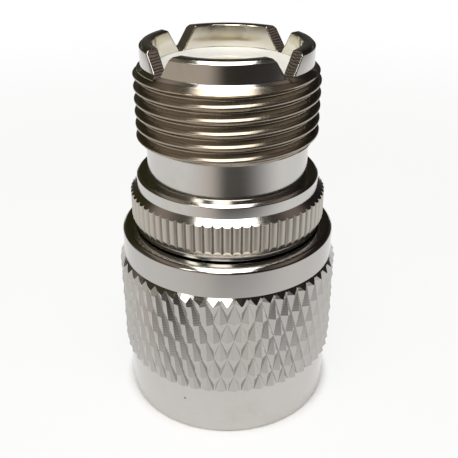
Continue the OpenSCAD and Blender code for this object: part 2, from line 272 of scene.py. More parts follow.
@dataclass(frozen=True)
class PlatedMetal:
    """Bright plating on turned brass: lathe lines, soft smudges, thin tarnish and a few specks.

    Marks, wear and mill ripples show in the spans of levels that are given, and heights are in line depths.
    The shade spans paint the plating darker as painted shade, and the bore is painted a lighter cream as a
    painted reflection.
    """

    name: str
    colour: Colour
    tarnish: Colour
    roughness: float
    specks: tuple[Speck, ...] = ()
    shade_tones: tuple[ShadeTone, ...] = ()
    marks: Optional[Flat] = None
    worn: Optional[Flat] = None
    milled: Optional[Flat] = None
    # painted reflection: within this radius the plating is painted a lighter cream
    bore: float = 0.0
    bore_reflection_colour: Colour = (0.80, 0.775, 0.70)
    speck_colour: Colour = (0.08, 0.065, 0.05)
    line_depth: float = 0.0009
    line_scale: float = 9.0
    patch_scale: float = 0.32
    cloud_scale: float = 1.7
    dot_scale: float = 3.1
    smudge: float = 0.05
    mark_pitch: float = 0.23
    mark_height: float = 4.0
    wear_scale: float = 0.9
    wear_height: float = 60.0
    mill_pitch: float = 0.2
    mill_height: float = 18.0

    def flaws(self, bench: Bench, at: Sock, clouds: Sock) -> Sock:
        """Where the plating is dark: faint dots and the placed specks.

        Args:
            bench: the material's tree.
            at: the point on the surface.
            clouds: the noise that roughens the specks' outlines.

        Returns:
            How dark each point is, from 0 to 1.
        """
        dark = bench.rise(bench.noise(at, self.dot_scale, 1.0), 0.79, 0.83) * 0.35
        for speck in self.specks:
            inputs = {0: at, 1: speck.at}
            away = bench.node("ShaderNodeVectorMath", {"operation": "DISTANCE"}, inputs, "Value")
            edge = away + clouds * 0.08
            dark = dark.high(1.0 - bench.rise(edge, speck.radius, speck.radius + 0.1))
        return dark

    def mill_ripples(self, bench: Bench, span: Flat, at: Sock, clouds: Sock) -> Sock:
        """Ripples on faces that stand radially, which are the sides of the notches.

        Args:
            bench: the material's tree.
            span: the levels between which they show.
            at: the point on the surface.
            clouds: the noise that makes them uneven.

        Returns:
            The height of the ripples.
        """
        x, y, z = bench.split(at)
        facing = bench.node("ShaderNodeNewGeometry", None, None, "True Normal")
        _, _, up = bench.split(facing)
        inputs = {0: facing, 1: bench.vector(x, y, 0.0)}
        out = bench.node("ShaderNodeVectorMath", {"operation": "DOT_PRODUCT"}, inputs, "Value")
        side = 1.0 - bench.rise((out * out).root(), 1.2, 2.4)
        side = side * (1.0 - bench.rise(up, 0.7, 0.85)) * bench.zone(z, span)
        return bench.wave(z + 0.3 * clouds, self.mill_pitch) * side * (self.mill_height * clouds)

    def make(self) -> bpy.types.Material:
        """Builds the material.

        Returns:
            The finished material.
        """
        material, bench = fresh_bench(self.name)
        at = bench.place()
        x, y, z = bench.split(at)
        reach = bench.reach(x, y)
        turned = bench.vector(reach * self.line_scale, z * self.line_scale, (x + y) * 0.02)
        lines = bench.noise(turned, 1.0, 3.0)
        patches = bench.noise(at, self.patch_scale, 3.0)
        clouds = bench.noise(at, self.cloud_scale, 4.0)
        dark = self.flaws(bench, at, clouds)
        aged = bench.rise(patches * 0.7 + clouds * 0.3, 0.46, 0.78)
        plate: Feed = self.colour
        rough = self.roughness + self.smudge * aged + 0.05 * lines + 0.35 * dark
        # painted shade: each shade span paints the plating darker over its levels and adds roughness there
        for shade_tone in self.shade_tones:
            zone = bench.zone(z, shade_tone.span)
            plate = bench.mix(zone, plate, shade_tone.colour)
            rough = rough + zone * shade_tone.rough
        colour = bench.mix(aged * 0.35, plate, self.tarnish)
        # painted reflection: inside the bore the plating is painted a lighter cream, standing in for the lit
        # white insulator that it reflects
        if self.bore > 0.0:
            inside = 1.0 - bench.rise(reach, self.bore, self.bore + 0.06)
            colour = bench.mix(inside, colour, self.bore_reflection_colour)
        colour = bench.mix(dark * 0.75, colour, self.speck_colour)
        height = lines + 0.5 * clouds
        if self.marks:
            ripple = bench.wave(z, self.mark_pitch) * bench.zone(z, self.marks)
            height = height + ripple * (self.mark_height * patches)
        if self.worn:
            dull = bench.zone(z, self.worn)
            height = height + dull * bench.noise(at, self.wear_scale, 0.0) * self.wear_height
            rough = rough + dull * (0.04 + 0.08 * clouds)
        if self.milled:
            height = height + self.mill_ripples(bench, self.milled, at, clouds)
        bench.surface({
            "Base Color": colour,
            "Metallic": 1.0,
            "Roughness": rough,
            "Normal": bench.bump(height, self.line_depth, 0.35),
        })
        return material


@dataclass(frozen=True)
class TurnedPtfe:
    """White turned PTFE: waxy, with faint tool rings and a little dust."""

    name: str = "turned_ptfe"
    colour: Colour = (0.86, 0.86, 0.84)
    dust: Colour = (0.70, 0.67, 0.61)
    ring_scale: float = 7.0
    ring_depth: float = 0.012
    dust_scale: float = 1.1

    def make(self) -> bpy.types.Material:
        """Builds the material.

        Returns:
            The finished material.
        """
        material, bench = fresh_bench(self.name)
        at = bench.place()
        x, y, z = bench.split(at)
        turned = bench.vector(
            bench.reach(x, y) * self.ring_scale, z * self.ring_scale, (x + y) * 0.03,
        )
        rings = bench.noise(turned, 1.0, 2.0)
        dirt = bench.rise(bench.noise(at, self.dust_scale, 5.0), 0.52, 0.80)
        bench.surface({
            "Base Color": bench.mix(dirt * 0.4, self.colour, self.dust),
            "Roughness": 0.36 + 0.16 * rings + 0.1 * dirt,
            "Subsurface Weight": 0.12,
            "Subsurface Radius": (1.0, 1.0, 0.95),
            "Subsurface Scale": 0.4 * MM,
            "Normal": bench.bump(rings, self.ring_depth, 0.4),
        })
        return material


@dataclass(frozen=True)
class SealSilicone:
    """Moulded silicone: dull red, with a fine skin and paler dust."""

    name: str = "seal_silicone"
    colour: Colour = (0.36, 0.075, 0.045)
    bloom: Colour = (0.50, 0.20, 0.15)
    skin_scale: float = 9.0
    skin_depth: float = 0.02
    bloom_scale: float = 1.4

    def make(self) -> bpy.types.Material:
        """Builds the material.

        Returns:
            The finished material.
        """
        material, bench = fresh_bench(self.name)
        at = bench.place()
        skin = bench.noise(at, self.skin_scale, 3.0)
        bloom = bench.rise(bench.noise(at, self.bloom_scale, 5.0), 0.48, 0.75)
        bench.surface({
            "Base Color": bench.mix(bloom * 0.5, self.colour, self.bloom),
            "Roughness": 0.48 + 0.2 * skin,
            "Normal": bench.bump(skin, self.skin_depth, 0.5),
        })
        return material


@dataclass(frozen=True)
class Corner:
    """A corner of a turned outline, with the radius of its rounding."""

    r: float
    z: float
    ease: float = 0.0


def eased(corners: Sequence[Corner], steps: int = 5, closed: bool = False) -> list[Flat]:
    """Rounds the corners of an outline.

    Args:
        corners: the outline's corners in order.
        steps: edges along each rounding.
        closed: whether the last corner joins the first.

    Returns:
        The points of the outline.
    """
    points: list[Flat] = []
    total = len(corners)
    for i, here in enumerate(corners):
        at_end = not closed and i in (0, total - 1)
        if here.ease <= 0.0 or at_end:
            points.append((here.r, here.z))
            continue
        ends = []
        for other in (corners[i - 1], corners[(i + 1) % total]):
            length = math.hypot(other.r - here.r, other.z - here.z)
            part = min(here.ease / length, MOST_EASE)
            ends.append((here.r + (other.r - here.r) * part, here.z + (other.z - here.z) * part))
        for k in range(steps + 1):
            s = k / steps
            a, b, c = (1 - s) ** 2, 2 * s * (1 - s), s * s
            points.append((
                a * ends[0][0] + b * here.r + c * ends[1][0],
                a * ends[0][1] + b * here.z + c * ends[1][1],
            ))
    return points


class Skin:
    """Collects the points and faces of one piece, in millimetres."""

    def __init__(self) -> None:
        """Starts an empty skin."""
        self.points: list[Point] = []
        self.faces: list[tuple[int, ...]] = []
        self.crisp = 0

    def dot(self, r: float, angle: float, z: float) -> int:
        """Adds a point by radius, angle and level."""
        self.points.append((r * math.cos(angle), r * math.sin(angle), z))
        return len(self.points) - 1

    def ring(self, r: float, z: float, count: int) -> list[int]:
        """Adds a round ring of points."""
        return [self.dot(r, TAU * i / count, z) for i in range(count)]

    def shaped_ring(self, shape: Callable[[float], Flat], count: int) -> list[int]:
        """Adds a ring whose radius and level follow the angle.

        Args:
            shape: radius and level at an angle.
            count: points around.

        Returns:
            The numbers of the points.
        """
        made = []
        for i in range(count):
            angle = TAU * i / count
            r, z = shape(angle)
            made.append(self.dot(r, angle, z))
        return made

    def bridge(self, first: list[int], second: list[int]) -> None:
        """Joins two rings, of which one may have a whole multiple of the other's points.

        Args:
            first: one ring.
            second: the other ring.
        """
        if len(first) < len(second):
            first, second = second, first
        ratio, count = len(first) // len(second), len(second)
        for j in range(count):
            near, far = second[j], second[(j + 1) % count]
            span = [first[(j * ratio + k) % len(first)] for k in range(ratio + 1)]
            if ratio == 1:
                self.faces.append((span[0], span[1], far, near))
                continue
            half = (ratio + 1) // 2
            for k in range(ratio):
                self.faces.append((span[k], span[k + 1], near if k < half else far))
            self.faces.append((near, span[half], far))

    def sweep(self, rings: Sequence[list[int]]) -> None:
        """Joins a row of rings."""
        for first, second in zip(rings, rings[1:]):
            self.bridge(first, second)

    def turn(self, outline: Sequence[Flat], count: int) -> list[list[int]]:
        """Adds a ring for each point of an outline, and joins them.

        Args:
            outline: radius and level of each ring.
            count: points around.

        Returns:
            The rings in order.
        """
        rings = [self.ring(r, z, count) for r, z in outline]
        self.sweep(rings)
        return rings

    def lathe(self, corners: Sequence[Corner], steps: int, count: int) -> None:
        """Turns a closed outline with eased corners all the way round.

        Args:
            corners: the outline's corners in order.
            steps: edges along each rounding.
            count: points around.
        """
        rings = self.turn(eased(corners, steps, True), count)
        self.bridge(rings[-1], rings[0])

    def cap(self, ring: list[int], z: float) -> None:
        """Closes a ring with a fan to the axis.

        Args:
            ring: the ring to close.
            z: level of the fan's middle.
        """
        middle = self.dot(0.0, 0.0, z)
        for a, b in zip(ring, ring[1:] + ring[:1]):
            self.faces.append((a, b, middle))

    def sector(
        self,
        section: Sequence[Flat],
        turn: float,
        sweep: float,
        gap: Callable[[float, float], float],
        count: int,
        ease: float,
    ) -> None:
        """Sweeps a closed section round the axis between two gaps, with eased edges at its end faces.

        Args:
            section: the closed section.
            turn: angle of the first gap's middle.
            sweep: angle from there to the next gap's middle.
            gap: width of a gap at a radius and level.
            count: steps between the two ends.
            ease: radius of the rounding along the end faces.
        """
        low_r, high_r = min(r for r, _ in section), max(r for r, _ in section)
        low_z, high_z = min(z for _, z in section), max(z for _, z in section)
        mid_r, mid_z = (low_r + high_r) / 2, (low_z + high_z) / 2
        turns = [math.radians(a) for a in (0, 30, 60, 90)]
        ends = [(ease * (1 - math.cos(a)), ease * (1 - math.sin(a))) for a in turns]
        stations = [(0.0, along, inset) for along, inset in ends]
        stations += [(k / count, 0.0, 0.0) for k in range(1, count)]
        stations += [(1.0, -along, inset) for along, inset in reversed(ends)]
        loops = []
        for part, along, inset in stations:
            loop = []
            for r, z in section:
                half = math.asin(gap(r, z) / 2 / r)
                first, last = turn + half, turn + sweep - half
                angle = first + (last - first) * part + along / r
                thin_r = mid_r + (r - mid_r) * (1 - 2 * inset / (high_r - low_r))
                thin_z = mid_z + (z - mid_z) * (1 - 2 * inset / (high_z - low_z))
                loop.append(self.dot(thin_r, angle, thin_z))
            loops.append(loop)
        self.sweep(loops)
        self.faces.append(tuple(loops[0]))
        self.faces.append(tuple(reversed(loops[-1])))

    def helix(
        self,
        tooth: Sequence[Flat],
        pitch: float,
        lead_z: float,
        span: Flat,
        blank: Callable[[float], float],
        inside: bool,
        count: int,
    ) -> tuple[list[int], list[int]]:
        """Skins a right-hand thread between two levels.

        Args:
            tooth: points over one pitch, as the distance from the crest's middle and the radius.
            pitch: rise in one turn.
            lead_z: level of a crest's middle at angle zero.
            span: lowest and highest level.
            blank: radius of the blank at a level.
            inside: whether the thread is in a bore.
            count: points around.

        Returns:
            The lowest and the highest ring.
        """
        low_z, high_z = span
        first = math.floor((low_z - lead_z) / pitch) - 2
        last = math.ceil((high_z - lead_z) / pitch) + 2
        bottom = self.ring(blank(low_z), low_z, count)
        top = self.ring(blank(high_z), high_z, count)
        pick = max if inside else min
        columns = []
        for i in range(count):
            angle, shift = TAU * i / count, pitch * i / count
            column = []
            for k in range(first, last):
                for rise, r in tooth:
                    z = lead_z + k * pitch + rise + shift
                    if z <= low_z + TINY:
                        column.append(bottom[i])
                    elif z >= high_z - TINY:
                        column.append(top[i])
                    else:
                        column.append(self.dot(pick(r, blank(z)), angle, z))
            columns.append(column)
        columns.append(columns[0][len(tooth):] + [top[0]] * len(tooth))
        for left, right in zip(columns, columns[1:]):
            for j in range(len(left) - 1):
                quad = (left[j], right[j], right[j + 1], left[j + 1])
                face = tuple(dict.fromkeys(quad))
                if len(face) > 2:
                    self.faces.append(face)
        return bottom, top

    def to_object(self, name: str, material: bpy.types.Material, sharp: float = 24.0) -> bpy.types.Object:
        """Makes the Blender object.

        Args:
            name: the object's name.
            material: its finish.
            sharp: edges turned by more than this angle stay sharp.

        Returns:
            The object, linked to the scene.
        """
        mesh = bpy.data.meshes.new(name)
        mesh.from_pydata([(x * MM, y * MM, z * MM) for x, y, z in self.points], [], self.faces)
        mesh.validate()
        piece = bpy.data.objects.new(name, mesh)
        bpy.context.scene.collection.objects.link(piece)
        bpy.context.view_layer.objects.active = piece
        bpy.ops.object.mode_set(mode="EDIT")
        bpy.ops.mesh.select_all(action="SELECT")
        bpy.ops.mesh.normals_make_consistent(inside=False)
        bpy.ops.object.mode_set(mode="OBJECT")
        mesh.polygons.foreach_set("use_smooth", [True] * len(mesh.polygons))
        mesh.set_sharp_from_angle(angle=math.radians(sharp))
        for face in mesh.polygons[:self.crisp]:
            for loop in face.loop_indices:
                mesh.edges[mesh.loops[loop].edge_index].use_edge_sharp = True
        weighted = piece.modifiers.new("flat_faces", "WEIGHTED_NORMAL")
        weighted.keep_sharp = True
        weighted.weight = FLAT_WEIGHT
        mesh.materials.append(material)
        return piece


def clipped(face: Sequence[Point], depth: Callable[[Point], float]) -> list[Point]:
    """Cuts a face along the line where a linear measure changes sign.

    Args:
        face: the corners in order.
        depth: the measure, positive on the side that is kept.

    Returns:
        The corners of the part that is kept.
    """
    kept: list[Point] = []
    for here, there in zip(face, list(face[1:]) + list(face[:1])):
        a, b = depth(here), depth(there)
        if a >= 0.0:
            kept.append(here)
        if a * b < 0.0:
            s = a / (a - b)
            kept.append(tuple(p + (q - p) * s for p, q in zip(here, there)))
    return kept


def settle(piece: bpy.types.Object, node: str, body: Body) -> None:
    """Puts a piece in place of its node, on its body.

    Args:
        piece: the dressed piece.
        node: the node that it stands for.
        body: the body that it rides on.
    """
    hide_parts(node)
    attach(piece, body.value)
    LOG.info("%s stands for %s on %s, %d faces", piece.name, node, body.value, len(piece.data.polygons))


def vee_tooth(crest_r: float, depth: float, bevel: float, crest_w: float, outward: float) -> list[Flat]:
    """Points of one 60 degree thread tooth with bevelled crests.

    Args:
        crest_r: radius of the crest.
        depth: depth of the thread.
        bevel: size of the bevel along the crest.
        crest_w: width of the crest.
        outward: 1 for a thread on the outside, -1 for one in a bore.

    Returns:
        Points as the distance from the crest's middle and the radius.
    """
    slope = math.tan(math.radians(60))
    half, edge = crest_w / 2, bevel
    run = edge + (depth - edge) / slope
    steps = [
        (half * 0.7, 0.0),
        (half, 0.006),
        (half + 0.03, 0.024),
        (half + edge - 0.02, edge - 0.02),
        (half + edge + 0.01, edge + 0.012),
        (half + edge + 0.05, edge + 0.05 * slope),
        (half + run - 0.04, depth - 0.04 * slope - 0.004),
        (half + run, depth - 0.016),
        (half + run + 0.04, depth),
    ]
    left = [(-rise, crest_r - outward * drop) for rise, drop in reversed(steps)]
    right = [(rise, crest_r - outward * drop) for rise, drop in steps]
    return left + [(0.0, crest_r)] + right


@dataclass
class JackEnd:
    """The jack: notched and threaded shell with its grip ring, insulator and slotted socket."""

    nickel: bpy.types.Material
    ptfe: bpy.types.Material
    contact: bpy.types.Material
    under_z: float = 17.4
    band_r: float = 8.36
    band_top_z: float = 17.78
    band_lean: float = 0.02
    teeth_z: float = 18.37
    teeth_top_z: float = 20.57
    teeth_r: float = 8.64
    teeth: int = 68
    tooth_turn: float = -90.0
    tooth_round: float = 2.7
    tooth_depth: float = 0.19
    flange_r: float = 8.02
    flange_z: float = 21.07
    flange_bevel: float = 0.22
    neck_z: float = 22.25
    neck_r: float = 7.03
    thread_z: float = 25.15
    thread_r: float = 7.85
    thread_depth: float = 0.52
    crest_bevel: float = 0.17
    crest_w: float = 0.15
    pitch: float = 1.0583
    crest_z: float = 31.13
    mouth_r: float = 7.2
    mouth_z: float = 31.695
    bore_r: float = 6.1
    top_z: float = 33.395
    top_bevel: float = 0.24
    spigot_r: float = 5.5
    shoulder_z: float = 22.0
    notch_turn: float = 41.8
    notch_drop: float = 0.3
    notch_foot: float = 0.4
    notch_top: float = 3.0
    tab_sink: float = 0.06
    tab_ease: float = 0.07
    face_z: float = 31.425
    web_z: float = 18.225
    socket_r: float = 2.75
    socket_bore_r: float = 2.0
    socket_z: float = 19.025
    socket_top_z: float = 31.225
    socket_floor_z: float = 21.725
    slot_w: float = 0.5
    slot_len: float = 6.0
    slot_turn: float = 45.0
    finger_sink: float = 0.05
    finger_ease: float = 0.05
    stem_r: float = 4.18
    pin_r: float = 1.54
    stud_r: float = 1.12
    stud_z: float = 21.025

    def tooth_r(self, angle: float) -> float:
        """Radius of the straight knurl: broad round crests between narrow grooves."""
        turn = (angle - math.radians(self.tooth_turn)) * self.teeth / TAU
        return self.teeth_r - self.tooth_depth * (2.0 * abs(turn - round(turn))) ** self.tooth_round

    def tooth_foot(self, angle: float) -> Flat:
        """Radius and level of the lower end of the teeth, on their taper.

        Args:
            angle: direction from the axis.

        Returns:
            The radius and the level.
        """
        r = self.tooth_r(angle)
        part = (self.teeth_r - r) / (self.teeth_r - self.band_r)
        return r, self.teeth_z - part * (self.teeth_z - self.band_top_z)

    def tooth_head(self, angle: float) -> Flat:
        """Radius and level of the upper end of the teeth, on the bevel.

        Args:
            angle: direction from the axis.

        Returns:
            The radius and the level.
        """
        r = self.tooth_r(angle)
        part = (self.teeth_r - r) / (self.teeth_r - self.flange_r)
        return r, self.teeth_top_z + part * (self.flange_z - self.teeth_top_z)

    def blank_r(self, z: float) -> float:
        """Radius of the threaded barrel's blank at a level: run-out below and lead-in bevel above."""
        low = self.neck_r + (z - self.thread_z) / math.tan(math.radians(30))
        return max(self.neck_r, min(self.thread_r, low, self.mouth_r + self.mouth_z - z))

    def shell(self) -> bpy.types.Object:
        """Builds the turned shell.

        Returns:
            The dressed piece.
        """
        skin = Skin()
        fine, plain = self.teeth * 12, self.teeth * 4
        foot = skin.turn(eased([
            Corner(self.spigot_r, self.under_z),
            Corner(self.band_r, self.under_z, 0.04),
            Corner(self.band_r - self.band_lean, self.band_top_z - 0.02),
            Corner(self.band_r, self.band_top_z),
        ]), fine)
        low = skin.shaped_ring(self.tooth_foot, fine)
        high = skin.shaped_ring(self.tooth_head, fine)
        skin.sweep([foot[-1], low, high])
        body = skin.turn(eased([
            Corner(self.flange_r, self.flange_z),
            Corner(self.flange_r, self.neck_z - self.flange_bevel, 0.05),
            Corner(self.flange_r - self.flange_bevel, self.neck_z, 0.05),
            Corner(self.neck_r, self.neck_z, 0.06),
            Corner(self.neck_r, self.thread_z - 0.02),
        ]), plain)
        skin.bridge(high, body[0])
        tooth = vee_tooth(self.thread_r, self.thread_depth, self.crest_bevel, self.crest_w, 1.0)
        lead = self.crest_z + self.pitch / 4
        foot_z = self.mouth_z - self.notch_drop
        span = (self.thread_z, foot_z)
        bottom, top = skin.helix(tooth, self.pitch, lead, span, self.blank_r, False, plain)
        skin.bridge(body[-1], bottom)
        bore = skin.turn([
            (self.bore_r, foot_z),
            (self.bore_r, self.shoulder_z),
            (self.spigot_r, self.shoulder_z),
        ], plain)
        skin.bridge(top, bore[0])
        skin.bridge(bore[-1], foot[0])
        self.add_tabs(skin)
        return skin.to_object("jack_shell_turned", self.nickel)

    def add_tabs(self, skin: Skin) -> None:
        """Adds the four tabs between the notches of the mouth.

        Args:
            skin: the shell's skin.
        """
        foot_z = self.mouth_z - self.notch_drop
        section = eased([
            Corner(self.mouth_r + self.notch_drop, foot_z - self.tab_sink),
            Corner(self.mouth_r + self.notch_drop, foot_z),
            Corner(self.mouth_r, self.mouth_z, 0.04),
            Corner(self.mouth_r, self.top_z - self.top_bevel, 0.05),
            Corner(self.mouth_r - self.top_bevel, self.top_z, 0.05),
            Corner(self.bore_r, self.top_z, 0.14),
            Corner(self.bore_r, foot_z - self.tab_sink),
        ], 4, True)
        flare = (self.notch_top - self.notch_foot) / (self.top_z - foot_z)

        def notch(_: float, z: float) -> float:
            """Width of a notch at a level."""
            return self.notch_foot + flare * max(z - foot_z, 0.0)

        for i in range(4):
            turn = math.radians(self.notch_turn + 90 * i)
            skin.sector(section, turn, TAU / 4, notch, 40, self.tab_ease)

    def insulator(self) -> bpy.types.Object:
        """Builds the white insulator.

        Returns:
            The dressed piece.
        """
        skin = Skin()
        outer, inner = self.bore_r - FIT, self.socket_r + FIT
        skin.lathe([
            Corner(self.pin_r, self.web_z),
            Corner(self.stem_r, self.web_z, 0.1),
            Corner(self.stem_r, self.shoulder_z),
            Corner(outer, self.shoulder_z),
            Corner(outer, self.face_z, 0.16),
            Corner(inner, self.face_z, 0.16),
            Corner(inner, self.socket_z),
            Corner(self.pin_r, self.socket_z),
        ], 5, 160)
        return skin.to_object("jack_insulator_turned", self.ptfe)

    def socket(self) -> bpy.types.Object:
        """Builds the socket: a solid root and four spring fingers.

        Returns:
            The dressed piece.
        """
        skin = Skin()
        split_z = self.socket_top_z - self.slot_len
        rings = skin.turn(eased([
            Corner(self.stud_r, self.stud_z),
            Corner(self.stud_r, self.socket_z),
            Corner(self.socket_r, self.socket_z, 0.12),
            Corner(self.socket_r, split_z),
            Corner(self.socket_bore_r, split_z),
            Corner(self.socket_bore_r, self.socket_floor_z, 0.1),
            Corner(0.12, self.socket_floor_z),
        ]), 96)
        skin.cap(rings[-1], self.socket_floor_z)
        skin.cap(rings[0], self.stud_z)
        section = eased([
            Corner(self.socket_r, split_z - self.finger_sink),
            Corner(self.socket_r, self.socket_top_z, 0.14),
            Corner(self.socket_bore_r, self.socket_top_z, 0.28),
            Corner(self.socket_bore_r, split_z - self.finger_sink),
        ], 4, True)

        def slot(_r: float, _z: float) -> float:
            """Width of a slot, the same all along."""
            return self.slot_w

        for i in range(4):
            turn = math.radians(self.slot_turn + 90 * i)
            skin.sector(section, turn, TAU / 4, slot, 20, self.finger_ease)
        return skin.to_object("socket_contact_slotted", self.contact)

    def build(self) -> None:
        """Builds the three pieces and puts them in place."""
        settle(self.shell(), "jack_shell", Body.ADAPTER)
        settle(self.insulator(), "jack_insulator", Body.ADAPTER)
        settle(self.socket(), "socket_contact", Body.ADAPTER)


@dataclass
class PlugEnd:
    """The plug: shell with its contact sleeve, insulator bead, centre pin, gasket and split ring."""

    nickel: bpy.types.Material
    ptfe: bpy.types.Material
    contact: bpy.types.Material
    bronze: bpy.types.Material
    silicone: bpy.types.Material
    sleeve_r: float = 4.0
    sleeve_bore_r: float = 3.5
    sleeve_z: float = 1.8
    gasket_z: float = 9.4
    seat_z: float = 10.8
    collar_r: float = 4.4
    gasket_r: float = 6.8
    shank_r: float = 7.1
    groove_z: float = 13.1
    groove_top_z: float = 14.02
    groove_r: float = 6.48
    under_z: float = 17.4
    spigot_r: float = 5.48
    shoulder_z: float = 22.0
    rear_bore_r: float = 4.2
    step_z: float = 12.0
    web_z: float = 18.225
    pin_r: float = 0.8
    pin_tip_z: float = 1.9
    pin_shoulder_z: float = 7.06
    pin_body_r: float = 1.52
    socket_z: float = 19.025
    stud_r: float = 1.1
    stud_z: float = 21.025
    ring_r: float = 6.54
    ring_w: float = 1.1
    ring_z: float = 13.22
    ring_t: float = 0.8
    ring_split: float = 3.0
    ring_ease: float = 0.06
    pin_taper: float = 0.9

    def shell(self) -> bpy.types.Object:
        """Builds the turned shell.

        Returns:
            The dressed piece.
        """
        skin = Skin()
        skin.lathe([
            Corner(self.sleeve_bore_r, self.sleeve_z, 0.15),
            Corner(self.sleeve_r, self.sleeve_z, 0.15),
            Corner(self.sleeve_r, self.gasket_z, 0.06),
            Corner(self.collar_r, self.gasket_z, 0.08),
            Corner(self.collar_r, self.seat_z, 0.05),
            Corner(self.shank_r, self.seat_z, 0.15),
            Corner(self.shank_r, self.groove_z, 0.04),
            Corner(self.groove_r, self.groove_z, 0.04),
            Corner(self.groove_r, self.groove_top_z, 0.04),
            Corner(self.shank_r, self.groove_top_z, 0.04),
            Corner(self.shank_r, self.under_z, 0.03),
            Corner(self.spigot_r, self.under_z, 0.03),
            Corner(self.spigot_r, self.shoulder_z, 0.05),
            Corner(self.rear_bore_r, self.shoulder_z, 0.05),
            Corner(self.rear_bore_r, self.step_z, 0.03),
            Corner(self.sleeve_bore_r, self.step_z, 0.03),
        ], 4, 160)
        return skin.to_object("plug_shell_turned", self.nickel)

    def insulator(self) -> bpy.types.Object:
        """Builds the stepped bead.

        Returns:
            The dressed piece.
        """
        skin = Skin()
        bore = self.pin_body_r + FIT
        front, rear = self.sleeve_bore_r - FIT, self.rear_bore_r - FIT
        skin.lathe([
            Corner(bore, self.pin_shoulder_z, 0.06),
            Corner(front, self.pin_shoulder_z, 0.1),
            Corner(front, self.step_z, 0.03),
            Corner(rear, self.step_z, 0.05),
            Corner(rear, self.web_z, 0.05),
            Corner(bore, self.web_z, 0.05),
        ], 4, 128)
        return skin.to_object("plug_insulator_turned", self.ptfe)

    def pin(self) -> bpy.types.Object:
        """Builds the centre pin.

        Returns:
            The dressed piece.
        """
        skin = Skin()
        rings = skin.turn(eased([
            Corner(0.06, self.pin_tip_z),
            Corner(self.pin_r * 0.5, self.pin_tip_z, 0.18),
            Corner(self.pin_r, self.pin_tip_z + self.pin_taper, 0.2),
            Corner(self.pin_r, self.pin_shoulder_z, 0.03),
            Corner(self.pin_body_r, self.pin_shoulder_z, 0.06),
            Corner(self.pin_body_r, self.socket_z, 0.05),
            Corner(self.stud_r, self.socket_z, 0.03),
            Corner(self.stud_r, self.stud_z, 0.15),
            Corner(0.06, self.stud_z),
        ]), 72)
        skin.cap(rings[0], self.pin_tip_z)
        skin.cap(rings[-1], self.stud_z)
        return skin.to_object("pin_contact_turned", self.contact)

    def gasket(self) -> bpy.types.Object:
        """Builds the flat gasket.

        Returns:
            The dressed piece.
        """
        skin = Skin()
        skin.lathe([
            Corner(self.collar_r + FIT, self.gasket_z, 0.12),
            Corner(self.gasket_r, self.gasket_z, 0.2),
            Corner(self.gasket_r, self.seat_z, 0.05),
            Corner(self.collar_r + FIT, self.seat_z, 0.05),
        ], 4, 128)
        return skin.to_object("gasket_moulded", self.silicone)

    def ring(self) -> bpy.types.Object:
        """Builds the split ring that holds the nut.

        Returns:
            The dressed piece.
        """
        skin = Skin()
        section = eased([
            Corner(self.ring_r, self.ring_z, 0.08),
            Corner(self.ring_r + self.ring_w, self.ring_z, 0.08),
            Corner(self.ring_r + self.ring_w, self.ring_z + self.ring_t, 0.08),
            Corner(self.ring_r, self.ring_z + self.ring_t, 0.08),
        ], 3, True)

        def split(_r: float, _z: float) -> float:
            """Width of the ring's gap, the same all along."""
            return self.ring_split

        skin.sector(section, 0.0, TAU, split, 110, self.ring_ease)
        return skin.to_object("retaining_ring_split", self.bronze)

    def build(self) -> None:
        """Builds the five pieces and puts them in place."""
        settle(self.shell(), "plug_shell", Body.ADAPTER)
        settle(self.insulator(), "plug_insulator", Body.ADAPTER)
        settle(self.pin(), "pin_contact", Body.ADAPTER)
        settle(self.gasket(), "gasket", Body.ADAPTER)
        settle(self.ring(), "retaining_ring", Body.ADAPTER)


def uneven(column: int, row: int) -> float:
    """A value from 0 to 1 that differs from point to point and is the same in each run."""
    wave = math.sin(column * 12.9898 + row * 78.233) * 43758.5453
    return wave - math.floor(wave)


